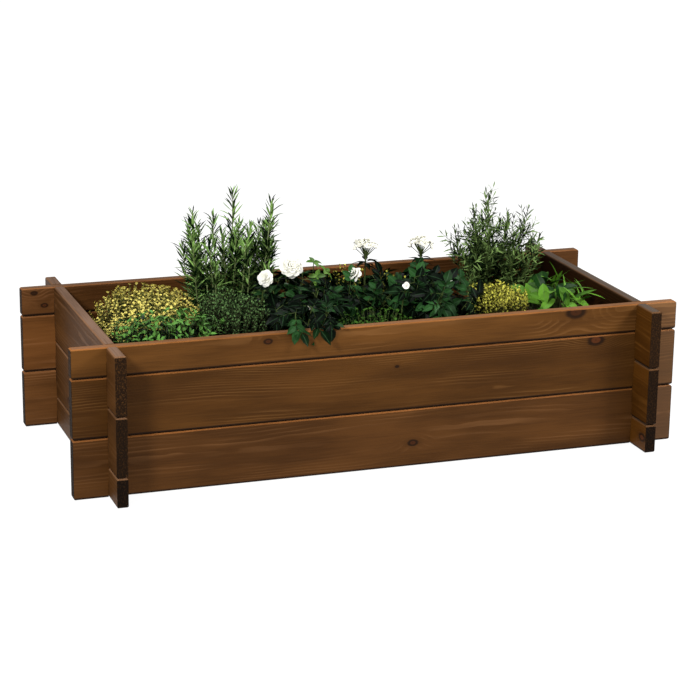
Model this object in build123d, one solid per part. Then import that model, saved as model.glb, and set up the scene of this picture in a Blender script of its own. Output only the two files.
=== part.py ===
from build123d import *
import os

# A raised garden bed of interlocking boards, planted with herbs and small roses. Millimetres.
# Four walls of three courses stand on the ground. Every board has square notches near both its ends, and
# the boards of the long and the short walls are stacked in turn, so the neck of wood left between two
# notches locks in the notches of the crossing wall. The long walls start with a full board and end with a
# half board. The short walls start with a half board, so all four rims come out level.
# Origin: centre of the footprint, on the ground. +X runs along the long walls, +Y to the back, +Z up.

# Driving dimensions of the bed
BED_LENGTH = 1200.0        # overall, along X, over the ends of the long boards
BED_WIDTH = 600.0          # overall, along Y, over the ends of the short boards
BOARD_THICKNESS = 21.0
COURSE_PITCH = 114.0       # height of a full board and the gap above it
COURSE_GAP = 1.0           # shadow gap between stacked boards
OVERHANG = 65.0            # how far a board runs on past the outer face of the wall it crosses
NOTCH_CLEARANCE = 1.0      # how much wider a notch is than the board that it holds
ARRIS_RADIUS = 4.0         # the four long edges of a board, rounded when it was planed
CORNER_RADIUS = 5.0        # the four corners of a board's outline, rounded after it was sawn to length

# Driving dimensions of what fills the bed
FILL_GAP = 0.5             # from the soil to the inner faces of the walls
SOIL_DEPTH = 203.0         # from the ground to the soil's surface
FOLIAGE_TAPER = 5.0        # degrees that the side of a plant's envelope leans in
FOLIAGE_ROUNDING = 14.0    # rounding of a plant's envelope at its top

# Sizes that follow from them
FULL_HEIGHT = COURSE_PITCH - COURSE_GAP
HALF_HEIGHT = COURSE_PITCH / 2 - COURSE_GAP
NOTCH_DEPTH = COURSE_PITCH / 4            # measured from the middle of a gap, or from the ground
NOTCH_WIDTH = BOARD_THICKNESS + NOTCH_CLEARANCE
LONG_WALL_Y = BED_WIDTH / 2 - OVERHANG - BOARD_THICKNESS / 2
SHORT_WALL_X = BED_LENGTH / 2 - OVERHANG - BOARD_THICKNESS / 2
INNER_LENGTH = 2 * SHORT_WALL_X - BOARD_THICKNESS
INNER_WIDTH = 2 * LONG_WALL_Y - BOARD_THICKNESS

# The planes on which the necks of the two walls meet, from the ground up
NECK_PLANES = [NOTCH_DEPTH + COURSE_PITCH / 2 * step for step in range(5)]

# A course is a name, the height it starts at, the board's height, and where its neck starts and ends.
# None stands for an edge with no notch.
LONG_COURSES = [
    ("lower", 0, FULL_HEIGHT, NECK_PLANES[0], NECK_PLANES[1]),
    ("middle", COURSE_PITCH, FULL_HEIGHT, NECK_PLANES[2], NECK_PLANES[3]),
    ("upper", 2 * COURSE_PITCH, HALF_HEIGHT, NECK_PLANES[4], None),
]
SHORT_COURSES = [
    ("lower", 0, HALF_HEIGHT, None, NECK_PLANES[0]),
    ("middle", COURSE_PITCH / 2, FULL_HEIGHT, NECK_PLANES[1], NECK_PLANES[2]),
    ("upper", 1.5 * COURSE_PITCH, FULL_HEIGHT, NECK_PLANES[3], NECK_PLANES[4]),
]

# Each plant's envelope: the span along X, the span along Y, and the height of its top above the ground
PLANTS = {
    "golden_oregano": ((-506, -322), (-88, 150), 305),
    "marjoram": ((-506, -324), (-209, -96), 316),
    "thyme": ((-316, -214), (-209, -26), 328),
    "rosemary": ((-312, -128), (-18, 176), 490),
    "rose_left": ((-206, -90), (-209, -26), 385),
    "rose_middle": ((-82, 74), (-122, 188), 400),
    "rose_right": ((82, 205), (-209, 188), 395),
    "creeping_mint": ((-82, 74), (-209, -130), 296),
    "tarragon": ((226, 456), (12, 194), 470),
    "golden_thyme": ((213, 304), (-209, -92), 312),
    "sorrel": ((326, 470), (-209, 4), 345),
}


def save(shape, name):
    export_step(shape, f"parts/{name}.step")


def block(x_span, y_span, z_span):
    spans = (x_span, y_span, z_span)
    centre = [sum(span) / 2 for span in spans]
    size = [span[1] - span[0] for span in spans]
    return Pos(*centre) * Box(*size)


def board_blank(length, height, bottom):
    # The planed board along X, standing on edge and centred on the wall's plane, before it is notched.
    # Its long edges are rounded all the way, and its ends are sawn square with rounded corners.
    section = RectangleRounded(BOARD_THICKNESS, height, ARRIS_RADIUS)
    planed = extrude(Plane.YZ * section, length / 2, both=True)
    outline = RectangleRounded(length, height, CORNER_RADIUS)
    sawn = extrude(Plane.XZ * outline, BOARD_THICKNESS, both=True)
    return Pos(0, 0, bottom + height / 2) * (planed & sawn)


def notched_board(length, crossing, course):
    # crossing is how far from the middle of the board each crossing wall stands
    _, bottom, height, neck_bottom, neck_top = course
    board = board_blank(length, height, bottom)
    through = (-BOARD_THICKNESS, BOARD_THICKNESS)
    for centre in (-crossing, crossing):
        width = (centre - NOTCH_WIDTH / 2, centre + NOTCH_WIDTH / 2)
        if neck_bottom is not None:
            board -= block(width, through, (bottom - HALF_HEIGHT, neck_bottom))
        if neck_top is not None:
            board -= block(width, through, (neck_top, bottom + height + HALF_HEIGHT))
    return board


def build_walls():
    for course in LONG_COURSES:
        board = notched_board(BED_LENGTH, SHORT_WALL_X, course)
        save(Pos(0, -LONG_WALL_Y, 0) * board, f"front_board_{course[0]}")
        save(Pos(0, LONG_WALL_Y, 0) * board, f"back_board_{course[0]}")
    for course in SHORT_COURSES:
        board = Rot(0, 0, 90) * notched_board(BED_WIDTH, LONG_WALL_Y, course)
        save(Pos(-SHORT_WALL_X, 0, 0) * board, f"left_board_{course[0]}")
        save(Pos(SHORT_WALL_X, 0, 0) * board, f"right_board_{course[0]}")


def soil_fill():
    # Potting soil on the open ground, held by the four walls
    half_length = INNER_LENGTH / 2 - FILL_GAP
    half_width = INNER_WIDTH / 2 - FILL_GAP
    return block((-half_length, half_length), (-half_width, half_width), (0, SOIL_DEPTH))


def plant_envelope(x_span, y_span, top):
    # The space that a plant's foliage fills, from the soil up, as one rounded closed shape
    height = top - SOIL_DEPTH
    width = x_span[1] - x_span[0]
    depth = y_span[1] - y_span[0]
    footprint = RectangleRounded(width, depth, min(width, depth) / 3)
    foliage = extrude(footprint, height, taper=FOLIAGE_TAPER)
    crown = foliage.faces().sort_by(Axis.Z)[-1]
    foliage = fillet(crown.edges(), FOLIAGE_ROUNDING)
    return Pos(sum(x_span) / 2, sum(y_span) / 2, SOIL_DEPTH) * foliage


def build_planting():
    save(soil_fill(), "soil_fill")
    for name, (x_span, y_span, top) in PLANTS.items():
        save(plant_envelope(x_span, y_span, top), name)


os.makedirs("parts", exist_ok=True)
build_walls()
build_planting()
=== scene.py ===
import bmesh
import bpy
import math
import random
from mathutils import Euler, Matrix, Quaternion, Vector, noise


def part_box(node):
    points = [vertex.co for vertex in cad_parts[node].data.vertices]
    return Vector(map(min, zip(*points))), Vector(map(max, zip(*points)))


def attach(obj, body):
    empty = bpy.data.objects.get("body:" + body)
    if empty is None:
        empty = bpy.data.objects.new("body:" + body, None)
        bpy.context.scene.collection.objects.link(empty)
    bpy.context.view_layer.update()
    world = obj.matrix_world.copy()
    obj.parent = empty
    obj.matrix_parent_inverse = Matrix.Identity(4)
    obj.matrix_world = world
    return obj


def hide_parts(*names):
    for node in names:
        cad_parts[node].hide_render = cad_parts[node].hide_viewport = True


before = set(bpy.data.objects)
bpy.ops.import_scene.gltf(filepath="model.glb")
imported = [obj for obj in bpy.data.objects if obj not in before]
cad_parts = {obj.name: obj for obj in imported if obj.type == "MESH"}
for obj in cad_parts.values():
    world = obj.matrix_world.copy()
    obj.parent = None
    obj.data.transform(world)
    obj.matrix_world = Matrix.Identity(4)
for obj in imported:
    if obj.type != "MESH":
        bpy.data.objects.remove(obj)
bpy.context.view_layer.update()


# ---- Walls: twelve planed pine boards, notched and stacked in turn, with no nails or screws.
# They were dipped in brown stain after they were cut, so the sawn ends drank it and went nearly black,
# while the rounded arrises were rubbed back to bare wood. The pale tops and arrises also carry a painted
# sheen and a painted highlight. Knots and growth rings show through the stain.

class Signal:
    """One output of a shader node. Arithmetic on it adds Math nodes to the same material."""

    def __init__(self, finish, socket):
        self.finish = finish
        self.socket = socket

    def math(self, operation, *values):
        return self.finish.node("ShaderNodeMath", {"operation": operation}, dict(enumerate(values)))

    def __add__(self, other):
        return self.math("ADD", self, other)

    __radd__ = __add__

    def __sub__(self, other):
        return self.math("SUBTRACT", self, other)

    def __rsub__(self, other):
        return self.math("SUBTRACT", other, self)

    def __mul__(self, other):
        return self.math("MULTIPLY", self, other)

    __rmul__ = __mul__

    def __truediv__(self, other):
        return self.math("DIVIDE", self, other)

    def __pow__(self, other):
        return self.math("POWER", self, other)

    def __abs__(self):
        return self.math("ABSOLUTE", self)


class Finish:
    """A material that is built up from nodes around one Principled shader."""

    def __init__(self, name, roughness=0.5, specular=0.5):
        self.material = bpy.data.materials.new(name)
        self.material.use_nodes = True
        self.tree = self.material.node_tree
        self.shader = self.tree.nodes["Principled BSDF"]
        self.shader.inputs["Roughness"].default_value = roughness
        self.shader.inputs["Specular IOR Level"].default_value = specular

    def node(self, kind, settings=None, values=None, output=0):
        made = self.tree.nodes.new(kind)
        for name, setting in (settings or {}).items():
            setattr(made, name, setting)
        for name, value in (values or {}).items():
            self.feed(made.inputs[name], value)
        return Signal(self, made.outputs[output])

    def split(self, vector):
        parts = self.node("ShaderNodeSeparateXYZ", {}, {0: vector})
        return [Signal(self, socket) for socket in parts.socket.node.outputs]

    def feed(self, socket, value):
        if isinstance(value, Signal):
            self.tree.links.new(value.socket, socket)
        else:
            socket.default_value = value

    def place(self, offset=(0, 0, 0), turn=(0, 0, 0)):
        here = self.node("ShaderNodeTexCoord", output="Object")
        values = {"Vector": here, "Location": offset, "Rotation": turn}
        return self.node("ShaderNodeMapping", {"vector_type": "POINT"}, values)

    def noise(self, where, scale, detail=2.0, roughness=0.5):
        values = {"Vector": where, "Scale": scale, "Detail": detail, "Roughness": roughness}
        return self.node("ShaderNodeTexNoise", {}, values, "Fac")

    def blend(self, share, low, high):
        # Mix node sockets for colours are numbered: 0 is the share, 6 and 7 are the two colours
        settings = {"data_type": "RGBA", "clamp_factor": True}
        return self.node("ShaderNodeMix", settings, {0: share, 6: low, 7: high}, 2)

    def between(self, value, low, high):
        # 0 below low, 1 above high, smooth in between
        values = {"Value": value, "From Min": low, "From Max": high}
        return self.node("ShaderNodeMapRange", {"interpolation_type": "SMOOTHSTEP"}, values)

    def stretch(self, where, scale):
        values = {"Vector": where, "Scale": scale}
        return self.node("ShaderNodeMapping", {"vector_type": "POINT"}, values)

    def colour(self, value):
        self.feed(self.shader.inputs["Base Color"], value)

    def roughness(self, value):
        self.feed(self.shader.inputs["Roughness"], value)

    def relief(self, height, depth, strength):
        values = {"Height": height, "Distance": depth, "Strength": strength}
        self.feed(self.shader.inputs["Normal"], self.node("ShaderNodeBump", {}, values))


RING_SPACING = 0.0042
RING_WANDER = 0.05
RING_RIPPLE = 0.0045
# How far the pith lies above or below the board's middle, and how far to one side of it
PITH_RISE = 0.035
PITH_AWAY = (0.035, 0.07)
KNOT_RINGS = 5.5
ARRIS_HEIGHT = 0.0030
# Where each of these begins and ends, in metres: the part of a right board that is between the long walls,
# measured from its middle, the short end past the wall, and the sawn end, both measured from the board's end
BETWEEN_WALLS = (0.208, 0.216)
SHORT_END = (0.066, 0.062)
SAWN_END = (0.0008, 0.0002)
STAIN_DARK = (0.050, 0.0195, 0.0042, 1)
STAIN_MID = (0.092, 0.037, 0.0085, 1)
STAIN_PALE = (0.17, 0.078, 0.027, 1)
END_GRAIN = (0.0085, 0.0035, 0.0010, 1)
END_FLECK = (0.066, 0.027, 0.006, 1)
KNOT_RED = (0.075, 0.021, 0.006, 1)
KNOT_DARK_AND_PAINTED_SHADE = (0.012, 0.005, 0.002, 1)
PAINTED_LIGHT_END = (0.42, 0.26, 0.16, 1)


def tinted(stain, tint):
    return (*(c * t for c, t in zip(stain, tint)), 1)


def stained_pine(name, seed, knots, tint, top_wear_and_sheen, arris_wear_and_highlight, sawn_tint):
    """Stain over growth rings. A knot is its place from the board's middle, its radius and its darkness."""
    wood = Finish(name, specular=0.06)
    wall = name.split("_")[0]
    low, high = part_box(name)
    middle, half = (low + high) / 2, (high - low) / 2
    half_length, half_thick = max(half.x, half.y), min(half.x, half.y)
    rng = random.Random(seed)
    turn = (0, 0, -math.pi / 2) if wall in ("left", "right") else (0, 0, 0)
    # After the turn, X runs along the grain, Y through the board and Z up its face
    centre = Matrix.Rotation(turn[2], 3, "Z") @ middle
    board = wood.place(offset=tuple(-centre), turn=turn)
    along, through, up = wood.split(board)
    shifted = wood.node("ShaderNodeVectorMath", {"operation": "ADD"},
                        {0: board, 1: (rng.uniform(2, 9), rng.uniform(2, 9), rng.uniform(2, 9))})

    # Each knot pushes the rings aside around it
    swell = 0
    knot_marks = []
    for at, height, radius, darkness in knots:
        spread = (((along - at) * 0.62) ** 2 + (up - height) ** 2) ** 0.5
        knot_marks.append((spread, radius, darkness))
        swell = swell + (1 - wood.between(spread, radius * 0.4, radius * 4.2)) * radius * 1.15

    # Rings are cylinders around a pith that lies behind the face and wanders along the board
    pith_up = rng.uniform(-PITH_RISE, PITH_RISE)
    pith_through = rng.choice((-1, 1)) * rng.uniform(*PITH_AWAY)
    wander = (wood.noise(wood.stretch(shifted, (1.6, 3, 3)), 1.0, 1.0) - 0.5) * RING_WANDER
    ripple = (wood.noise(wood.stretch(shifted, (9, 60, 60)), 1.0, 2.0) - 0.5) * RING_RIPPLE
    across_ring = up - pith_up + wander
    from_pith = ((through - pith_through) ** 2 + across_ring ** 2) ** 0.5
    ring = (from_pith + ripple + swell) / RING_SPACING
    phase = ring.math("FRACT", ring)
    late_wood = wood.between(phase, 0.45, 0.9) * (1 - wood.between(phase, 0.92, 1.0))

    fibre = wood.noise(wood.stretch(shifted, (14, 520, 520)), 1.0, 3.0, 0.62)
    pores = wood.noise(wood.stretch(shifted, (60, 1500, 1500)), 1.0, 1.0)
    blotch = wood.noise(wood.stretch(shifted, (3.2, 17, 17)), 1.0, 3.0, 0.55)
    soak = wood.between(blotch * 0.7 + fibre * 0.3, 0.36, 0.66)
    dark, mid, pale = (tinted(stain, tint) for stain in (STAIN_DARK, STAIN_MID, STAIN_PALE))
    body = wood.blend(soak, dark, mid)
    streaks = wood.noise(wood.stretch(shifted, (4, 30, 30)), 1.0, 2.0)
    pale_streak = late_wood * wood.between(streaks, 0.42, 0.72)
    face = wood.blend(pale_streak * 0.55, body, pale)
    face = wood.blend(wood.between(fibre, 0.52, 0.78) * 0.35, face, dark)

    # Knots: dark rim, reddish heart with its own small rings
    for spread, radius, darkness in knot_marks:
        ragged = spread + (pores - 0.5) * radius * 0.5
        heart = 1 - wood.between(ragged, radius * 0.75, radius * 1.15)
        wave = spread * (KNOT_RINGS / radius)
        heart_rings = wood.between(wave.math("SINE", wave), -0.2, 0.9)
        inside = wood.blend(heart_rings * (1 - darkness), KNOT_DARK_AND_PAINTED_SHADE, KNOT_RED)
        halo = (1 - wood.between(ragged, radius, radius * 2.3)) * 0.45
        face = wood.blend(halo, face, dark)
        face = wood.blend(heart * 0.92, face, inside)

    # The top and arrises are rubbed pale, with a painted sheen on the top and a painted highlight on the
    # arrises; the lower arrises get painted shade for the gap below
    patchy = wood.between(fibre * 0.5 + blotch * 0.5, 0.3, 0.62)
    top = wood.between(up, half.z - 0.0004, half.z - 0.00004)
    arris = wood.between(up, half.z - ARRIS_HEIGHT, half.z - 0.0016) * (1 - top)
    face = wood.blend(arris * (0.22 + patchy * 0.5), face, arris_wear_and_highlight)
    face = wood.blend(top * (0.3 + patchy * 0.6), face, top_wear_and_sheen)
    if wall == "right":
        # The side that faces the plants, between the two long walls, is painted dark as shade from the plants
        # and walls
        painted_shade_inner_side = wood.between(through, half_thick - 0.002, half_thick - 0.0004)
        between_walls = 1 - wood.between(abs(along), *BETWEEN_WALLS)
        face = wood.blend(painted_shade_inner_side * between_walls * 0.8, face, KNOT_DARK_AND_PAINTED_SHADE)
    if wall == "front":
        # The short end past the right wall is painted paler, as painted light from the lamp on the right
        past_wall = wood.between(along, *(half_length - at for at in SHORT_END))
        face = wood.blend(past_wall * 0.11, face, PAINTED_LIGHT_END)
    # Painted shade along the lower arris, for the gap below it
    painted_gap_shade = 1 - wood.between(up, ARRIS_HEIGHT - half.z, 0.0058 - half.z)
    face = wood.blend(painted_gap_shade * 0.94, face, KNOT_DARK_AND_PAINTED_SHADE)

    # The sawn ends drank the stain, and show as dark specks of open grain
    speck = wood.between(wood.noise(shifted, 420.0, 3.0, 0.7), 0.50, 0.70)
    end_grain, end_fleck = (tinted(stain, (sawn_tint,) * 3) for stain in (END_GRAIN, END_FLECK))
    ends = wood.between(abs(along), *(half_length - at for at in SAWN_END))
    wood.colour(wood.blend(ends, face, wood.blend(speck * 0.8, end_grain, end_fleck)))

    wood.roughness(0.42 + fibre * 0.22 + ends * 0.2 - late_wood * 0.06)
    wood.relief(late_wood * 0.5 + fibre * 0.8 + pores * 0.25, 0.0004, 0.75)
    return wood.material


# Knots that each board shows, from its own middle, and how dark each board or wall took the stain
KNOTS = {
    "front_board_upper": [(-0.233, 0.014, 0.006, 0.5), (0.385, 0.022, 0.014, 0.6)],
    "front_board_middle": [(0.02, 0.03, 0.003, 1.0), (0.43, 0.048, 0.012, 0.1)],
    "front_board_lower": [(0.055, -0.01, 0.007, 0.5)],
    "back_board_upper": [(-0.575, 0.018, 0.005, 0.9), (-0.555, -0.008, 0.005, 0.2)],
    "back_board_middle": [(0.21, -0.02, 0.009, 0.4), (-0.3, 0.03, 0.005, 0.8)],
    "back_board_lower": [(-0.12, 0.02, 0.008, 0.5)],
    "left_board_middle": [(0.1, -0.03, 0.007, 0.5)],
    "right_board_upper": [(-0.04, 0.02, 0.008, 0.4)],
    "right_board_lower": [(-0.285, 0.0, 0.009, 0.05)],
}
TINTS = {
    "front_board_upper": (1.28, 1.25, 1.1), "front_board_middle": (0.92, 0.88, 0.7),
    "front_board_lower": (0.94, 0.90, 0.9), "back_board_upper": (1.3, 1.25, 1.5),
    "back_board_middle": (1.72, 1.6, 1.7), "back_board_lower": (1.55, 1.5, 1.7),
    "left": (0.88, 0.88, 0.98), "right": (0.87, 0.76, 0.4),
}
# How the wear, with its painted sheen and painted highlight, looks on the tops and on the arrises of each
# wall
WEAR_AND_PAINTED_LIGHT = {"front": ((0.230, 0.105, 0.048, 1), (0.34, 0.125, 0.032, 1)),
        "back": ((0.160, 0.085, 0.045, 1), (0.30, 0.120, 0.040, 1)),
        "left": ((0.200, 0.120, 0.080, 1), (0.24, 0.125, 0.065, 1)),
        "right": ((0.085, 0.066, 0.052, 1), (0.13, 0.066, 0.030, 1))}
# The lower an end is, the darker its sawn face
SAWN = {"upper": 1.35, "middle": 0.85, "lower": 0.5}
for seed, name in enumerate(sorted(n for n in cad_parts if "_board_" in n)):
    wall, _, course = name.split("_")
    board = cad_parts[name]
    tint = TINTS.get(name) or TINTS[wall]
    material = stained_pine(name, seed, KNOTS.get(name, []), tint, *WEAR_AND_PAINTED_LIGHT[wall], SAWN[course])
    board.data.materials.clear()
    board.data.materials.append(material)


# ---- Soil: potting compost of bark and peat that fills the bed to a hand's width below the rim.
# It lies loose on the ground inside the four walls, so its top is lumpy, with chips of bark on it.

def finish_piece(name, shape, materials, slot, *stands_for):
    mesh = bpy.data.meshes.new(name)
    shape.to_mesh(mesh)
    shape.free()
    for material in materials:
        mesh.materials.append(material)
    piece = bpy.data.objects.new(name, mesh)
    bpy.context.scene.collection.objects.link(piece)
    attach(piece, "root")
    if stands_for:
        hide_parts(*stands_for)


def compost(name, dark, light, grain):
    soil = Finish(name, roughness=0.95, specular=0.1)
    crumbs = soil.noise(soil.place(), grain, 4.0, 0.7)
    soil.colour(soil.blend(soil.between(crumbs, 0.42, 0.66), dark, light))
    soil.relief(crumbs, 0.003, 0.9)
    return soil.material


SOIL_LUMPS = 0.007
LUMPS_PER_METRE = 45
BARK_CHIPS = 420
low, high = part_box("soil_fill")
size = high - low
soil_top = high.z
bed = bmesh.new()
bmesh.ops.create_grid(bed, x_segments=132, y_segments=56, size=0.5)
bmesh.ops.transform(bed, matrix=Matrix.Diagonal((size.x, size.y, 1, 1)), verts=bed.verts)
edge = [e for e in bed.edges if e.is_boundary]
for vert in bed.verts:
    lumps = noise.fractal(vert.co * LUMPS_PER_METRE, 1.0, 2.0, 3)
    vert.co.z = soil_top + SOIL_LUMPS * (lumps - 0.5)
skirt = bmesh.ops.extrude_edge_only(bed, edges=edge)["geom"]
for vert in (g for g in skirt if isinstance(g, bmesh.types.BMVert)):
    vert.co.z = low.z
underside = [g for g in skirt if isinstance(g, bmesh.types.BMEdge) and g.is_boundary]
bmesh.ops.contextual_create(bed, geom=underside)
bmesh.ops.recalc_face_normals(bed, faces=bed.faces)
rng = random.Random(5)
for _ in range(BARK_CHIPS):
    along, across = rng.uniform(low.x, high.x) * 0.97, rng.uniform(low.y, high.y) * 0.95
    tilt = Euler((rng.uniform(-0.5, 0.5), rng.uniform(-0.5, 0.5), rng.uniform(0, 6.3)))
    chip_size = (rng.uniform(0.006, 0.018), rng.uniform(0.004, 0.008), rng.uniform(0.002, 0.004), 1)
    chip = Matrix.Translation((along, across, soil_top + 0.001)) @ tilt.to_matrix().to_4x4()
    corners = bmesh.ops.create_cube(bed, size=1, matrix=chip @ Matrix.Diagonal(chip_size))["verts"]
    for face in {f for v in corners for f in v.link_faces}:
        face.material_index = 1
finish_piece("soil", bed, [compost("compost", (0.006, 0.004, 0.0025, 1), (0.026, 0.016, 0.009, 1), 260),
                           compost("bark_chip", (0.022, 0.011, 0.005, 1), (0.07, 0.036, 0.017, 1), 420)],
             "potting_soil", "soil_fill")


# ---- Golden oregano: a low cushion of upright shoots with small round yellow leaves in crossed pairs.
# The shoots lean out towards the edge, are taller to the right, and close their leaves at the tip.

def leaf(length, width, rows, columns=1, belly=0.8, full=1.0, fold=0.25, droop=0.2, teeth=0.0):
    """A leaf from the origin along +Y with its upper side to +Z, and its own map across and along it."""
    blade = bmesh.new()
    blade.loops.layers.uv.new("blade")
    tone = blade.verts.layers.float.new("tone")
    bmesh.ops.create_grid(blade, x_segments=columns, y_segments=rows, size=1, calc_uvs=True)
    for vert in blade.verts:
        side, t = vert.co.x, (vert.co.y + 1) / 2
        tooth = 1 - teeth * (round(t * rows) % 2)
        half = width / 2 * max(0.0, math.sin(math.pi * t ** belly)) ** full * tooth
        vert.co = (side * half, t * length, abs(side) * half * fold - droop * length * t * t)
        vert[tone] = 0.5
    bmesh.ops.remove_doubles(blade, verts=blade.verts, dist=1e-6)
    mesh = bpy.data.meshes.new("leaf")
    blade.to_mesh(mesh)
    blade.free()
    return mesh


def foliage():
    shape = bmesh.new()
    shape.loops.layers.uv.new("blade")
    shape.verts.layers.float.new("tone")
    return shape


def put(target, part, place, tone=None):
    """Adds a part to the shape at that place, with all its leaves in that tone if there is one."""
    if tone is not None:
        part.attributes["tone"].data.foreach_set("value", [tone] * len(part.vertices))
    part.transform(place)
    target.from_mesh(part)
    part.transform(place.inverted())


def as_part(shape, name):
    mesh = bpy.data.meshes.new(name)
    shape.to_mesh(mesh)
    shape.free()
    return mesh


def aimed(direction, yaw=0.0, pitch=0.0, size=1.0):
    """Turns a leaf round a stem that points that way by yaw, and up along it by pitch."""
    turn = direction.to_track_quat("Z", "Y").to_matrix().to_4x4()
    return turn @ Euler((pitch, 0, yaw)).to_matrix().to_4x4() @ Matrix.Scale(size, 4)


def shoot(height, pairs, blade, rng, bare=0.35, flat=0.3, steep=1.0, smallest=0.55, stem=0.0007):
    """An upright stem with leaves in crossed pairs, the lower ones larger, flatter and darker."""
    shape = foliage()
    bmesh.ops.create_cone(shape, cap_ends=True, segments=4, radius1=stem, radius2=stem * 0.5, depth=height,
                          matrix=Matrix.Translation((0, 0, height / 2)))
    for face in shape.faces:
        face.material_index = 1
    for pair in range(pairs):
        t = pair / (pairs - 1)
        rise = height * (bare + (1 - bare) * t)
        for side in (0, math.pi):
            yaw = pair * math.pi / 2 + side + rng.uniform(-0.35, 0.35)
            pitch = flat + (steep - flat) * t + rng.uniform(-0.25, 0.25)
            size = (1 - (1 - smallest) * t) * rng.uniform(0.8, 1.15)
            place = Matrix.Translation((0, 0, rise)) @ aimed(Vector((0, 0, 1)), yaw, pitch, size)
            put(shape, blade, place, tone=min(1.0, max(0.0, 0.1 + 0.6 * t + rng.uniform(-0.25, 0.35))))
    return as_part(shape, "shoot"), height


GOLDEN_ANGLE = 2.39996
ROOT_DEPTH = 0.004


def cushion_of(node, shoots, count, seed, edge_drop, uneven, lean=0.6, slope=(0.0, 0.0)):
    """Shoots rooted all over a plant's footprint, tallest in the middle and leaning out at the edge."""
    low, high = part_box(node)
    middle, half = (low + high) / 2, (high - low) / 2
    rng = random.Random(seed)
    tall = high.z - soil_top
    shape = foliage()
    for i in range(count):
        out = math.sqrt((i + 0.5) / count)
        turn = i * GOLDEN_ANGLE + rng.uniform(-0.3, 0.3)
        # A squircle, so that the plant reaches into the corners of its footprint
        square = 1 + 0.16 * math.sin(2 * turn) ** 2
        along, across = math.cos(turn) * out * square, math.sin(turn) * out * square
        lumps = noise.noise(Vector((along * 2.6 + seed, across * 2.6, seed * 0.7))) * 1.3
        lumps += rng.uniform(-0.6, 0.6)
        grown = 1 - edge_drop * out ** 2.5 + uneven * lumps + slope[0] * along + slope[1] * across
        direction = Vector((along * lean, across * lean, 1)).normalized()
        spread = tall * lean * 0.6
        foot = Vector((middle.x + along * (half.x - spread), middle.y + across * (half.y - spread),
                       soil_top - ROOT_DEPTH))
        part, height = rng.choice(shoots)
        size = min(tall * max(0.4, grown), high.z - foot.z) / height
        put(shape, part, Matrix.Translation(foot) @ aimed(direction, rng.uniform(0, 6.3), 0, size))
    return shape


def leaf_green(name, shade, light, gloss=0.05, roughness=0.5, rib=None, drift_size=90.0, span=(0.45, 1.1)):
    """Leaves from shade to light, by each leaf's tone and in drifts over the plant, with or without a rib."""
    green = Finish(name, roughness=roughness, specular=gloss)
    own = green.node("ShaderNodeAttribute", {"attribute_name": "tone"}, output="Fac")
    drift = green.noise(green.place(), drift_size, 2.0)
    colour = green.blend(green.between(own * 0.9 + drift * 0.5, *span), shade, light)
    if rib:
        side = green.split(green.node("ShaderNodeUVMap", {"uv_map": "blade"}))[0] - 0.5
        midrib = 1 - green.between(abs(side), 0.02, 0.09)
        colour = green.blend(midrib * (own * 0.5 + 0.12), colour, rib)
    green.colour(colour)
    return green.material


def stem_finish(name, low, high):
    stem = Finish(name, roughness=0.6, specular=0.2)
    stem.colour(stem.blend(stem.noise(stem.place(), 60.0), low, high))
    return stem.material


green_stem = stem_finish("green_stem", (0.035, 0.055, 0.012, 1), (0.11, 0.15, 0.04, 1))
rng = random.Random(11)
round_leaf = leaf(0.0095, 0.0080, 3, belly=0.85, full=0.7, fold=0.3, droop=0.15)
shoots = [shoot(0.1, 6, round_leaf, rng, bare=0.58, flat=0.15, steep=0.9, smallest=0.6) for _ in range(5)]
golden_oregano = cushion_of("golden_oregano", shoots, 340, 3, 0.12, uneven=0.14, slope=(0.40, 0.04))
finish_piece("golden_oregano_shoots", golden_oregano,
             [leaf_green("golden_leaf", (0.016, 0.014, 0.002, 1), (0.72, 0.62, 0.15, 1), drift_size=45.0,
                         span=(0.5, 0.95)), green_stem],
             "golden_leaf", "golden_oregano")


# ---- Marjoram: the same habit as the oregano, in fewer shoots with larger, bright green pointed leaves.
# It fills the front left corner and comes up a little over the rim. The leaves droop at their ends.

pointed_leaf = leaf(0.0190, 0.0092, 3, columns=2, belly=0.75, full=0.8, fold=0.4, droop=0.35)
shoots = [shoot(0.09, 6, pointed_leaf, rng, bare=0.36, flat=0.1, steep=0.9) for _ in range(5)]
marjoram = cushion_of("marjoram", shoots, 150, 4, 0.3, uneven=0.14, slope=(0.16, 0.0))
finish_piece("marjoram_shoots", marjoram,
             [leaf_green("bright_green_leaf", (0.0008, 0.006, 0.0008, 1), (0.10, 0.25, 0.045, 1), 0.1, 0.38,
                         span=(0.58, 1.05)), green_stem],
             "bright_green_leaf", "marjoram")


# ---- Thyme: a dense dark cushion of thin woody shoots with tiny narrow leaves, bare near the soil.
# The shoots stand close and nearly upright, so only their pale tips catch the light.

woody_stem = stem_finish("woody_stem", (0.018, 0.014, 0.007, 1), (0.055, 0.042, 0.02, 1))
tiny_leaf = leaf(0.0085, 0.0046, 3, belly=0.8, full=0.6, fold=0.3, droop=0.1)
shoots = [shoot(0.125, 10, tiny_leaf, rng, bare=0.42, flat=0.25, smallest=0.7, stem=0.0005) for _ in range(5)]
thyme = cushion_of("thyme", shoots, 330, 6, 0.2, lean=0.25, uneven=0.12)
finish_piece("thyme_shoots", thyme,
             [leaf_green("dark_green_leaf", (0.0008, 0.004, 0.0010, 1), (0.10, 0.185, 0.060, 1), 0.02,
                         span=(0.62, 1.12)), woody_stem],
             "dark_green_leaf", "thyme")


# ---- Rosemary: tall stiff upright stems, clothed from near the soil to the tip in needles.
# The needles stand in crossed pairs, lean up towards the tip, and are folded along the middle.

def bend_point(route, t):
    start, bow, end = route
    return start * (1 - t) ** 2 + bow * 2 * t * (1 - t) + end * t * t


def bend_direction(route, t):
    start, bow, end = route
    return ((bow - start) * (1 - t) + (end - bow) * t).normalized()


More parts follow.
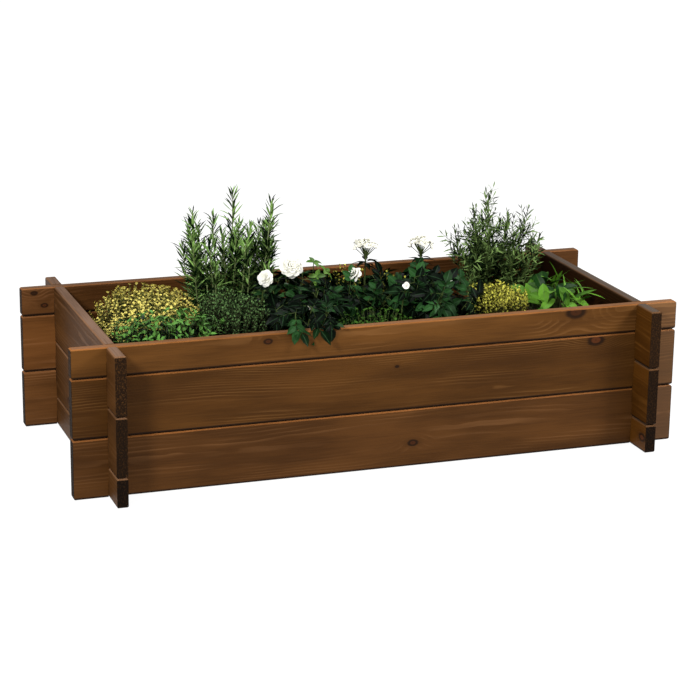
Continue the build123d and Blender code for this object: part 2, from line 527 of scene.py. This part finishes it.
def cane(target, route, thick, thin, steps=6, sides=5):
    """A tapering round stem along a bowed route of start, bow and end."""
    turn = bend_direction(route, 0).to_track_quat("Z", "Y").to_matrix().to_4x4()
    start = Matrix.Translation(route[0]) @ turn
    ring = bmesh.ops.create_circle(target, segments=sides, radius=thick, matrix=start)["verts"]
    edges = list({e for v in ring for e in v.link_edges})
    width = thick
    for step in range(1, steps + 1):
        here, before = bend_point(route, step / steps), bend_point(route, (step - 1) / steps)
        made = bmesh.ops.extrude_edge_only(target, edges=edges)["geom"]
        ring = [g for g in made if isinstance(g, bmesh.types.BMVert)]
        edges = [g for g in made if isinstance(g, bmesh.types.BMEdge) and all(v in ring for v in g.verts)]
        bmesh.ops.translate(target, verts=ring, vec=here - before)
        wanted = thick + (thin - thick) * step / steps
        bmesh.ops.scale(target, verts=ring, vec=(wanted / width,) * 3, space=Matrix.Translation(-here))
        width = wanted
        for face in (g for g in made if isinstance(g, bmesh.types.BMFace)):
            face.material_index = 1
    for face in bmesh.ops.contextual_create(target, geom=edges)["faces"]:
        face.material_index = 1


NEEDLE_PAIR_TURN = 1.72
STEEPEST_NEEDLE = 1.05
SHORTEST_NEEDLE = 0.6


def needled_stem(target, route, needles, spacing, rng, bare=0.08, flat=0.55, thick=0.0016):
    """A cane with needles in crossed pairs, a little shorter and steeper towards the tip."""
    cane(target, route, thick, thick * 0.4, steps=5)
    length = ((route[1] - route[0]).length + (route[2] - route[1]).length + (route[2] - route[0]).length) / 2
    pairs = max(4, int(length * (1 - bare) / spacing))
    for pair in range(pairs):
        t = bare + (1 - bare) * pair / (pairs - 1)
        place, direction = Matrix.Translation(bend_point(route, t)), bend_direction(route, t)
        grown = min(1.0, SHORTEST_NEEDLE + (1 - t) * length / 0.04)
        for side in (0, math.pi):
            yaw = pair * NEEDLE_PAIR_TURN + side + rng.uniform(-0.4, 0.4)
            pitch = flat + (STEEPEST_NEEDLE - flat) * t ** 4 + rng.uniform(-0.22, 0.18)
            needle = rng.choice(needles)
            turn = aimed(direction, yaw, pitch, grown * rng.uniform(0.75, 1.1))
            put(target, needle, place @ turn, tone=rng.random() ** 1.3 * 0.8 + 0.2 * t)


def tips_in(node, shares):
    """The points at those shares of a plant's box, and the middle of its foot."""
    low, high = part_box(node)
    tips = [Vector([l + (h - l) * s for l, h, s in zip(low, high, share)]) for share in shares]
    return tips, Vector(((low.x + high.x) / 2, (low.y + high.y) / 2, soil_top - ROOT_DEPTH))


rng = random.Random(21)
tall_tips = [(0.10, 0.4, 0.86), (0.33, 0.45, 0.82), (0.52, 0.35, 1.0), (0.72, 0.4, 0.74), (0.94, 0.35, 0.91)]
tall_tips += [(0.18, 0.5, 0.76), (0.45, 0.5, 0.70), (0.62, 0.45, 0.66), (0.84, 0.5, 0.62)]
low_tips = [(rng.uniform(0.0, 1.0), rng.uniform(0.05, 0.95), rng.uniform(0.42, 0.76))
            for _ in range(38)]
tips, crown = tips_in("rosemary", tall_tips + low_tips)
needles = [leaf(0.032, 0.0047, 3, columns=2, belly=0.9, full=0.45, fold=0.6, droop=droop)
           for droop in (-0.15, 0.0, 0.2)]
shape = foliage()
for tip in tips:
    scatter = Vector((rng.uniform(-1, 1), rng.uniform(-1, 1), 0)) * 0.01
    foot = crown + Vector((tip.x - crown.x, tip.y - crown.y, 0)) * 0.6 + scatter
    bow = foot.lerp(tip, 0.5) + Vector((tip.x - foot.x, tip.y - foot.y, 0)) * 0.3
    needled_stem(shape, (foot, bow, tip), needles, 0.0054, rng, thick=0.0021)
finish_piece("rosemary_stems", shape,
             [leaf_green("needle_leaf", (0.0015, 0.010, 0.0015, 1), (0.25, 0.43, 0.11, 1), 0.05, 0.42,
                         span=(0.5, 1.05)),
              stem_finish("rosemary_stem", (0.09, 0.13, 0.04, 1), (0.26, 0.31, 0.13, 1))],
             "needle_leaf", "rosemary")


# ---- Tarragon: a looser bush of thin bowed branches, each with many side shoots of fine leaves.
# A few branches rise well above the rest, and the lower ones close the bush down to the soil.

rng = random.Random(31)
branch_tips = [(0.42, 0.35, 0.95), (0.35, 0.5, 0.80), (0.50, 0.5, 0.84), (0.83, 0.35, 0.78)]
branch_tips += [(0.70, 0.55, 0.70), (0.34, 0.4, 0.66), (0.30, 0.2, 0.73), (0.90, 0.4, 0.56)]
branch_tips += [(0.62, 0.3, 0.70), (0.76, 0.3, 0.68), (0.86, 0.6, 0.50)]
branch_tips += [(rng.uniform(0.16, 0.84), rng.uniform(0.0, 0.9), rng.uniform(0.42, 0.70))
                for _ in range(34)]
tips, crown = tips_in("tarragon", branch_tips)
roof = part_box("tarragon")[1].z
fine_leaves = [leaf(0.023, 0.0036, 3, belly=0.9, full=0.5, fold=0.4, droop=droop)
               for droop in (-0.15, 0.0, 0.15)]
shape = foliage()
for tip in tips:
    foot = crown + Vector((tip.x - crown.x, tip.y - crown.y, 0)) * 0.3
    route = (foot, foot.lerp(tip, 0.5) + Vector((tip.x - foot.x, tip.y - foot.y, 0)) * 0.25, tip)
    needled_stem(shape, route, fine_leaves, 0.0064, rng, flat=0.45, thick=0.0012)
    for _ in range(5):
        start = bend_point(route, rng.uniform(0.35, 0.88))
        outward = Vector((rng.uniform(-1, 1), rng.uniform(-1, 1), rng.uniform(0.4, 1.2))).normalized()
        end = start + outward * rng.uniform(0.025, 0.05)
        end.z = min(end.z, roof - 0.01)
        twig = (start, start.lerp(end, 0.5) + Vector((0, 0, -0.004)), end)
        needled_stem(shape, twig, fine_leaves, 0.0060, rng, bare=0.1, flat=0.45, thick=0.0008)
finish_piece("tarragon_branches", shape,
             [leaf_green("tarragon_leaf", (0.0012, 0.008, 0.0010, 1), (0.19, 0.30, 0.085, 1), 0.04,
                         span=(0.42, 1.05)), green_stem],
             "needle_leaf", "tarragon")


# ---- Small roses: three bushes of thin canes with dark glossy leaves, each of five toothed leaflets.
# A few white double blooms, buds, and two tall heads of small white flowers stand above them.

def compound_leaf(leaflet, rng):
    """Five leaflets on one stalk along +Y: two pairs and a larger one at the end."""
    shape = foliage()
    length = 0.032
    stalk = (Vector((0, 0, 0)), Vector((0, length * 0.5, 0.003)), Vector((0, length, 0)))
    cane(shape, stalk, 0.0006, 0.0004, steps=2, sides=3)
    tone = rng.random() ** 1.6 * 0.8
    for t, side, size in ((0.45, -1, 0.7), (0.45, 1, 0.7), (0.8, -1, 0.88), (0.8, 1, 0.88), (1.0, 0, 1.1)):
        tilt = Euler((rng.uniform(-0.35, 0.1), side * 0.25, -side * rng.uniform(0.85, 1.15)))
        place = Matrix.Translation(bend_point(stalk, t)) @ tilt.to_matrix().to_4x4()
        place = place @ Matrix.Scale(size * rng.uniform(0.9, 1.1), 4)
        put(shape, leaflet, place, tone=tone + rng.uniform(0, 0.25))
    return as_part(shape, "compound_leaf")


# The turn round the stem from one leaf, flower or shoot to the next
LEAF_TURN = 2.4


def rose_cane(target, route, leaves, rng, every=0.014, bare=0.25):
    cane(target, route, 0.0017, 0.0008)
    count = max(3, int((route[2] - route[0]).length * (1 - bare) / every))
    for i in range(count):
        t = bare + (1 - bare) * i / (count - 1)
        yaw = i * LEAF_TURN + rng.uniform(-0.4, 0.4)
        turn = aimed(bend_direction(route, t), yaw, rng.uniform(-0.1, 0.6), rng.uniform(0.7, 1.1))
        put(target, rng.choice(leaves), Matrix.Translation(bend_point(route, t)) @ turn)


def rose_bush(node, leaves, canes, seed, front_height, back_height, extra=()):
    """Canes all over a bush's footprint, up to one share of its height in front and another at the back."""
    rng = random.Random(seed)
    shares = []
    for _ in range(canes):
        along, back = rng.uniform(0.05, 0.95), rng.uniform(0.05, 0.95)
        tallest = front_height + (back_height - front_height) * back
        shares.append((along, back, rng.uniform(0.3, 1.0) * tallest))
    tips, crown = tips_in(node, shares)
    shape = foliage()
    for tip in tips + list(extra):
        foot = crown + Vector((tip.x - crown.x, tip.y - crown.y, 0)) * 0.5
        rose_cane(shape, (foot, foot.lerp(tip, 0.45) + Vector((0, 0, 0.02)), tip), leaves, rng)
    return shape


rng = random.Random(41)
leaflet = leaf(0.0295, 0.0165, 6, columns=2, belly=0.8, fold=0.3, droop=0.2, teeth=0.12)
rose_leaves = [compound_leaf(leaflet, rng) for _ in range(9)]
rose_green = leaf_green("rose_leaf", (0.0004, 0.0022, 0.0005, 1), (0.026, 0.090, 0.022, 1), 0.04, 0.36,
                        rib=(0.05, 0.12, 0.05, 1), drift_size=40.0, span=(0.5, 1.25))
front_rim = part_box("front_board_upper")[0].y
rim_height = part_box("front_board_upper")[1].z
# Shoots that lean out over the front rim: where the last leaf starts, how it leans aside, its size and tone
HANGING = [(-0.180, 0.036, 0.05, 0.95, 0.8), (-0.148, 0.044, -0.25, 0.75, 0.15),
           (-0.116, 0.032, -0.1, 0.9, 0.3)]
hanging = [Vector((x, front_rim + 0.003, rim_height + above)) for x, above, *_ in HANGING]
rose_left = rose_bush("rose_left", rose_leaves, 46, 51, 0.62, 0.88, hanging)
for spot, (*_, lean, size, tone) in zip(hanging, HANGING):
    downward = Euler((1.87, math.pi + lean, 0)).to_matrix().to_4x4() @ Matrix.Scale(size, 4)
    put(rose_left, rose_leaves[0], Matrix.Translation(spot) @ downward, tone)
finish_piece("rose_left_bush", rose_left, [rose_green, green_stem], "rose_leaf", "rose_left")
rose_middle = rose_bush("rose_middle", rose_leaves, 66, 52, 0.68, 0.22)
finish_piece("rose_middle_bush", rose_middle, [rose_green, green_stem], "rose_leaf", "rose_middle")
rose_right = rose_bush("rose_right", rose_leaves, 76, 53, 0.82, 0.36)
finish_piece("rose_right_bush", rose_right, [rose_green, green_stem], "rose_leaf", "rose_right")


def petal(length, width, cup, curl):
    """A broad petal from the origin along +Y, hollow towards +Z, its rim curled back."""
    blade = bmesh.new()
    bmesh.ops.create_grid(blade, x_segments=4, y_segments=4, size=1)
    for vert in blade.verts:
        side, t = vert.co.x, (vert.co.y + 1) / 2
        half = width / 2 * (0.25 + 0.75 * math.sin(math.pi * min(t * 0.72 + 0.02, 0.5))) * (1 - 0.35 * t ** 6)
        rim = length * t * (1 - 0.18 * side * side * t)
        hollow = cup * (side * side * half + length * t * t * 0.35)
        vert.co = (side * half, rim, hollow - curl * length * t ** 5)
    return as_part(blade, "petal")


# How wide an open flower of the two petals below is at their full size
PETAL_SPREAD = 0.04


def bloom(target, centre, facing, across, rings, petals, rng):
    """A flower of rings of petals. Each ring is its count, its tilt up from flat, and its size."""
    for number, (count, tilt, size) in enumerate(rings):
        for i in range(count):
            yaw = (i + number * 0.5) * 2 * math.pi / count + rng.uniform(-0.15, 0.15)
            pitch = tilt + rng.uniform(-0.1, 0.1)
            turn = aimed(facing, yaw, pitch, size * across / PETAL_SPREAD * rng.uniform(0.92, 1.06))
            put(target, petals[0 if number < 2 else 1], Matrix.Translation(centre) @ turn)


def petal_finish(name, rim, heart):
    white = Finish(name, roughness=0.5, specular=0.2)
    white.colour(white.blend(white.noise(white.place(), 130.0, 2.0), heart, rim))
    white.shader.inputs["Subsurface Weight"].default_value = 0.15
    white.shader.inputs["Subsurface Radius"].default_value = (0.004, 0.004, 0.003)
    return white.material


rng = random.Random(61)
petals = [petal(0.0205, 0.022, 0.3, 0.35), petal(0.019, 0.020, 0.6, 0.3)]
FULL = [(6, 0.05, 1.0), (6, 0.3, 1.0), (6, 0.55, 0.9), (6, 0.8, 0.8), (5, 1.05, 0.72),
        (5, 1.3, 0.62), (4, 1.5, 0.52)]
HALF_OPEN = [(5, 0.4, 0.95), (5, 0.8, 0.95), (4, 1.1, 0.85), (4, 1.4, 0.75)]
BUD = [(4, 1.15, 0.8), (3, 1.4, 0.65)]
# Each flower's place, the way it faces, its width and its rings
BLOOMS = [((-0.145, -0.100, 0.373), (-0.1, -0.75, 0.5), 0.044, FULL),
          ((-0.203, -0.120, 0.359), (-0.6, -0.6, 0.35), 0.032, FULL),
          ((0.001, -0.050, 0.334), (-0.7, -0.3, 0.6), 0.033, HALF_OPEN),
          ((0.069, -0.150, 0.330), (-0.4, -0.7, 0.5), 0.028, BUD),
          ((-0.147, -0.200, 0.318), (0.6, -0.5, 0.3), 0.022, BUD),
          ((0.159, -0.135, 0.329), (0.2, -0.7, 0.6), 0.022, BUD)]
QUARTER_TURN, FIFTH_TURN = 1.57, 1.257
# How large the leaflets under a flower are for each metre of its width
SEPAL_SHARE = 9.0
flowers, stalks = bmesh.new(), foliage()
for centre, facing, across, rings in BLOOMS:
    centre, facing = Vector(centre), Vector(facing).normalized()
    bloom(flowers, centre, facing, across, rings, petals, rng)
    foot = centre - facing * 0.003
    root = Vector((centre.x, centre.y + 0.03, soil_top))
    cane(stalks, (root, Vector((root.x, root.y, foot.z - 0.02)), foot), 0.0016, 0.0013)
    for i in range(5):
        sepal = aimed(facing, i * FIFTH_TURN, 0.1, across * SEPAL_SHARE)
        put(stalks, leaflet, Matrix.Translation(foot) @ sepal, tone=0.7)

# The two tall heads, each of small flowers on thin stalks from one point, over a ruff of narrow leaves
FLORETS = 20
RUFF_LEAVES = 9
HEAD_RADIUS = 0.021
HEAD_DOME = 0.014
floret_petal = petal(0.0105, 0.0088, 0.3, 0.1)
ruff_leaf = leaf(0.034, 0.012, 4, columns=2, belly=0.8, fold=0.3, droop=0.25)
for head in (Vector((0.039, 0.0, 0.380)), Vector((0.155, 0.0, 0.377))):
    neck = head - Vector((0, 0, 0.026))
    root = Vector((head.x + 0.004, head.y + 0.01, soil_top))
    cane(stalks, (root, Vector((head.x - 0.004, head.y, 0.29)), neck), 0.0022, 0.0016)
    for i in range(FLORETS):
        out, turn = math.sqrt((i + 0.5) / FLORETS), i * LEAF_TURN
        rise = (0.5 - out * out) * HEAD_DOME + rng.uniform(-0.003, 0.003)
        spot = head + Vector((math.cos(turn) * out * HEAD_RADIUS, math.sin(turn) * out * HEAD_RADIUS, rise))
        up = (spot - neck).normalized()
        cane(stalks, (neck, neck.lerp(spot, 0.5), spot), 0.0009, 0.0008, steps=1, sides=3)
        for k in range(5):
            turn = aimed(up, k * FIFTH_TURN + i, rng.uniform(0.3, 1.0), rng.uniform(0.8, 1.1))
            put(flowers, floret_petal, Matrix.Translation(spot) @ turn)
    for i in range(RUFF_LEAVES):
        spot = neck - Vector((0, 0, 0.004 + 0.0015 * i))
        yaw = i * LEAF_TURN + 0.5
        turn = aimed(Vector((0, 0, 1)), yaw, rng.uniform(-0.1, 0.35), rng.uniform(0.7, 1.05))
        put(stalks, ruff_leaf, Matrix.Translation(spot) @ turn, tone=0.1)
bmesh.ops.recalc_face_normals(flowers, faces=flowers.faces)
white_petal = petal_finish("white_petal", (0.90, 0.89, 0.85, 1), (0.80, 0.79, 0.66, 1))
finish_piece("rose_blooms", flowers, [white_petal], "white_petal")
finish_piece("rose_flower_stalks", stalks, [rose_green, green_stem], "plant_stem")

# Young pale leaves on three of the rose shoots
young = foliage()
YOUNG_TIPS = [((-0.088, -0.06, 0.368), (0.1, -0.4, 1)), ((-0.066, -0.07, 0.350), (0.5, -0.3, 0.8)),
              ((-0.088, -0.08, 0.345), (-0.4, -0.6, 0.7))]
for spot, facing in YOUNG_TIPS:
    spot = Vector(spot)
    foot, knee = Vector((spot.x, spot.y + 0.02, 0.27)), Vector((spot.x, spot.y + 0.01, 0.31))
    cane(young, (foot, knee, spot), 0.0014, 0.001, steps=3)
    for i in range(4):
        pitch, size = rng.uniform(-0.2, 0.5), rng.uniform(0.6, 0.8)
        turn = aimed(Vector(facing).normalized(), i * QUARTER_TURN, pitch, size)
        put(young, leaflet, Matrix.Translation(spot) @ turn, tone=rng.uniform(0.3, 1.0))
finish_piece("rose_young_leaves", young,
             [leaf_green("young_rose_leaf", (0.012, 0.045, 0.006, 1), (0.10, 0.21, 0.03, 1), 0.14, 0.36,
                         rib=(0.16, 0.27, 0.07, 1)), green_stem],
             "rose_leaf")


# ---- Creeping mint: a low mat of soft oval leaves, in the shade of the roses at the front rim.
# Its short shoots lean outwards, and only their top pairs of leaves come up over the rim.

rng = random.Random(71)
oval_leaf = leaf(0.0125, 0.0095, 3, columns=2, belly=0.85, full=0.8, fold=0.25, droop=0.25)
shoots = [shoot(0.085, 5, oval_leaf, rng, bare=0.3, flat=0.1) for _ in range(4)]
creeping_mint = cushion_of("creeping_mint", shoots, 100, 7, 0.25, uneven=0.15)
finish_piece("creeping_mint_shoots", creeping_mint,
             [leaf_green("mint_leaf", (0.001, 0.006, 0.001, 1), (0.05, 0.125, 0.016, 1), 0.03,
                         span=(0.5, 1.1)), green_stem],
             "mint_leaf", "creeping_mint")


# ---- Golden thyme: a low cushion like the thyme, with rounder yellow leaves on woody shoots.
# It stands at the front rim between the roses and the sorrel, cut level like a small hedge.

yellow_leaf = leaf(0.0072, 0.0048, 3, belly=0.8, full=0.7, fold=0.3, droop=0.1)
shoots = [shoot(0.1, 10, yellow_leaf, rng, bare=0.42, flat=0.2, smallest=0.7, stem=0.0005) for _ in range(5)]
golden_thyme = cushion_of("golden_thyme", shoots, 230, 8, 0.05, lean=0.15, uneven=0.1)
# Two loose tufts of it also come up between the roses
for tuft in ((0.035, 0.10), (0.105, 0.02)):
    for _ in range(16):
        foot = Vector((tuft[0] + rng.uniform(-0.022, 0.022), tuft[1] + rng.uniform(-0.02, 0.02), soil_top))
        part, height = rng.choice(shoots)
        outward = Vector((rng.uniform(-0.3, 0.3), rng.uniform(-0.3, 0.3), 1)).normalized()
        put(golden_thyme, part, Matrix.Translation(foot) @ aimed(outward, 0, 0, rng.uniform(0.9, 1.15)))
finish_piece("golden_thyme_shoots", golden_thyme,
             [leaf_green("golden_thyme_leaf", (0.005, 0.009, 0.001, 1), (0.52, 0.50, 0.075, 1), 0.03,
                         drift_size=150.0, span=(0.55, 1.05)), woody_stem],
             "golden_leaf", "golden_thyme")


# ---- Sorrel: a clump of bright green tongue-shaped leaves, each on its own stalk from the soil.
# To the right the leaves are younger, narrow and pale, and they stand among the broad ones.

SORREL_LEAVES = 96
rng = random.Random(81)
tongue = leaf(0.046, 0.023, 7, columns=4, belly=1.1, full=0.7, fold=0.25, droop=0.3)
strap = leaf(0.052, 0.0080, 5, columns=2, belly=0.8, full=0.7, fold=0.3, droop=0.2)
low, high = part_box("sorrel")
shape = foliage()
for i in range(SORREL_LEAVES):
    out, turn = math.sqrt((i + 0.5) / SORREL_LEAVES), i * LEAF_TURN
    along, across = math.cos(turn) * out, math.sin(turn) * out
    tip = Vector(((low.x + high.x) / 2 + along * (high.x - low.x) * 0.40,
                  (low.y + high.y) / 2 + across * (high.y - low.y) * 0.42,
                  soil_top + (high.z - soil_top) * rng.uniform(0.42, 0.72) * (1 - 0.2 * out)))
    foot = Vector(((low.x + high.x) / 4 + tip.x / 2, (low.y + high.y) / 4 + tip.y / 2, soil_top - 0.003))
    cane(shape, (foot, foot.lerp(tip, 0.5) + Vector((0, 0, 0.01)), tip), 0.0014, 0.0009, steps=3)
    thin = along > 0.22 + rng.uniform(-0.2, 0.2)
    outward = Vector((along, across, 1.1)).normalized()
    turn = aimed(outward, rng.uniform(0, 6.3), rng.uniform(0.2, 1.15), rng.uniform(0.7, 1.05))
    put(shape, strap if thin else tongue, Matrix.Translation(tip) @ turn,
        tone=rng.uniform(0.5, 1.0) if thin else rng.uniform(0.0, 0.9))
finish_piece("sorrel_leaves", shape,
             [leaf_green("sorrel_leaf", (0.004, 0.028, 0.0015, 1), (0.10, 0.25, 0.02, 1), 0.1, 0.4,
                         rib=(0.11, 0.22, 0.04, 1), drift_size=30.0), green_stem],
             "bright_green_leaf", "sorrel")


# ---- Floor, lights and camera: a white studio floor that glows, so that it stays white under the bed.
# A softbox stands on each side in front, and a broad soft light comes from above.

FLOOR_REACH = 30
# The floor lies just under the bed, so that the two faces don't fight
FLOOR_LEVEL = -0.0005
floor_mesh = bmesh.new()
bmesh.ops.create_grid(floor_mesh, x_segments=1, y_segments=1, size=FLOOR_REACH)
floor = bpy.data.objects.new("floor", bpy.data.meshes.new("floor"))
floor_mesh.to_mesh(floor.data)
bpy.context.scene.collection.objects.link(floor)
paper = Finish("studio_paper", roughness=0.9, specular=0.0)
paper.colour((0.15, 0.15, 0.15, 1))
paper.shader.inputs["Emission Color"].default_value = (1, 1, 1, 1)
paper.shader.inputs["Emission Strength"].default_value = 0.93
floor.data.materials.append(paper.material)
floor.location.z = FLOOR_LEVEL

world = bpy.data.worlds.new("studio")
world.use_nodes = True
world.node_tree.nodes["Background"].inputs["Color"].default_value = (1, 1, 1, 1)
world.node_tree.nodes["Background"].inputs["Strength"].default_value = 0.36
bpy.context.scene.world = world


def hang(light, aim, position=(0, 0, 0)):
    """Puts a lamp in the scene at that position, shining that way."""
    lamp = bpy.data.objects.new(light.name, light)
    lamp.location = position
    lamp.rotation_mode = "QUATERNION"
    lamp.rotation_quaternion = Vector(aim).to_track_quat("-Z", "Y")
    bpy.context.scene.collection.objects.link(lamp)


overhead = bpy.data.lights.new("overhead", "SUN")
overhead.energy = 1.7
overhead.angle = math.radians(30)
hang(overhead, (0.15, -0.25, -1.0))
# Each softbox's name, place, what it points at, power in watts, and width
SOFTBOXES = [("left_softbox", (-1.9, -1.7, 1.7), (-0.2, 0, 0.2), 56, 0.5),
             ("right_softbox", (1.9, -1.7, 1.7), (0.2, 0, 0.2), 52, 0.7)]
for name, position, target, power, across in SOFTBOXES:
    softbox = bpy.data.lights.new(name, "AREA")
    softbox.shape = "DISK"
    softbox.size = across
    softbox.energy = power
    hang(softbox, Vector(target) - Vector(position), position)

VIEW_AZIMUTH = math.radians(19.47)
VIEW_ELEVATION = math.radians(16.07)
VIEW_ROLL = math.radians(0.75)
VIEW_DISTANCE = 4.293
LENS = 112.5
SENSOR = 36.0
bed_middle = Vector((0.005, 0.0, 0.173))
looking = Vector((math.sin(VIEW_AZIMUTH) * math.cos(VIEW_ELEVATION),
                  math.cos(VIEW_AZIMUTH) * math.cos(VIEW_ELEVATION),
                  -math.sin(VIEW_ELEVATION)))
camera = bpy.data.objects.new("camera", bpy.data.cameras.new("camera"))
camera.data.lens = LENS
camera.data.sensor_width = SENSOR
camera.location = bed_middle - looking * VIEW_DISTANCE
camera.rotation_mode = "QUATERNION"
camera.rotation_quaternion = looking.to_track_quat("-Z", "Y") @ Quaternion((0, 0, 1), VIEW_ROLL)
bpy.context.scene.collection.objects.link(camera)
bpy.context.scene.camera = camera
bpy.context.scene.view_settings.view_transform = "Standard"

bpy.context.view_layer.update()
